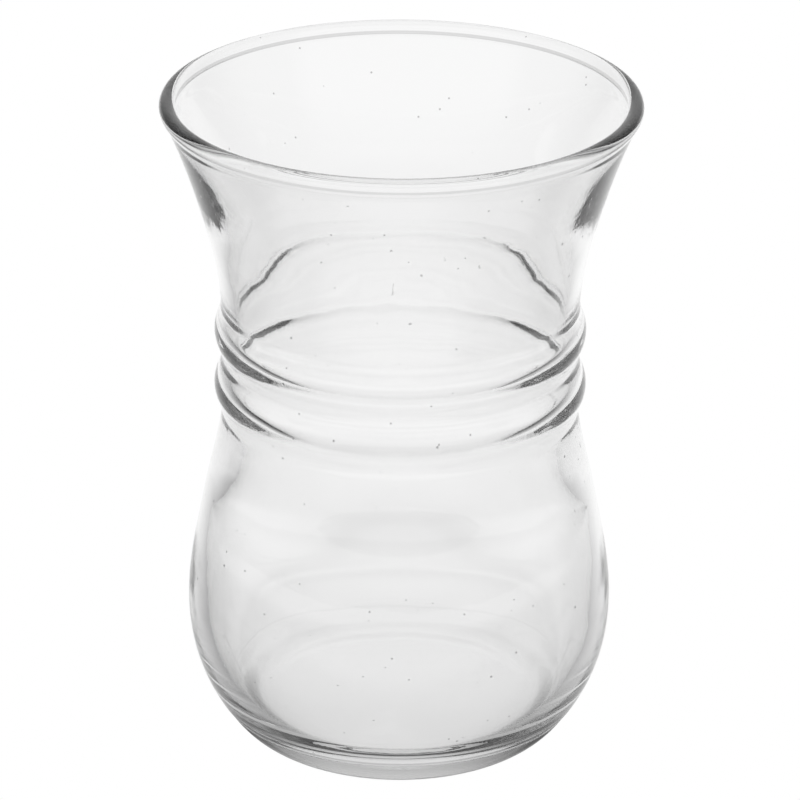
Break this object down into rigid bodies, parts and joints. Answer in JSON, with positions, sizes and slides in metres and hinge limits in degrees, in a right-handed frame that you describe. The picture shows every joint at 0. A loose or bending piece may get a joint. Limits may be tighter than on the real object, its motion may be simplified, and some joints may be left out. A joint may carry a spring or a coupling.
{
  "type": "tea glass",
  "caption": "Clear waisted tea glass with a flared mouth and rounded rim, raised rings round the throat, and a rounded bulb on a thick foot.",
  "frame": {"origin": "centre of the foot, on the plane of the table that the glass stands on", "axes": "+Z along the axis of the glass, from the foot up to the mouth; +X and +Y are free, because the glass is round"},
  "size_m": [0.063, 0.063, 0.09],
  "materials": {
    "clear_glass": "fire-polished clear soda-lime glass"
  },
  "bodies": {
    "root": {"glass": "clear_glass"}
  },
  "joints": []
}
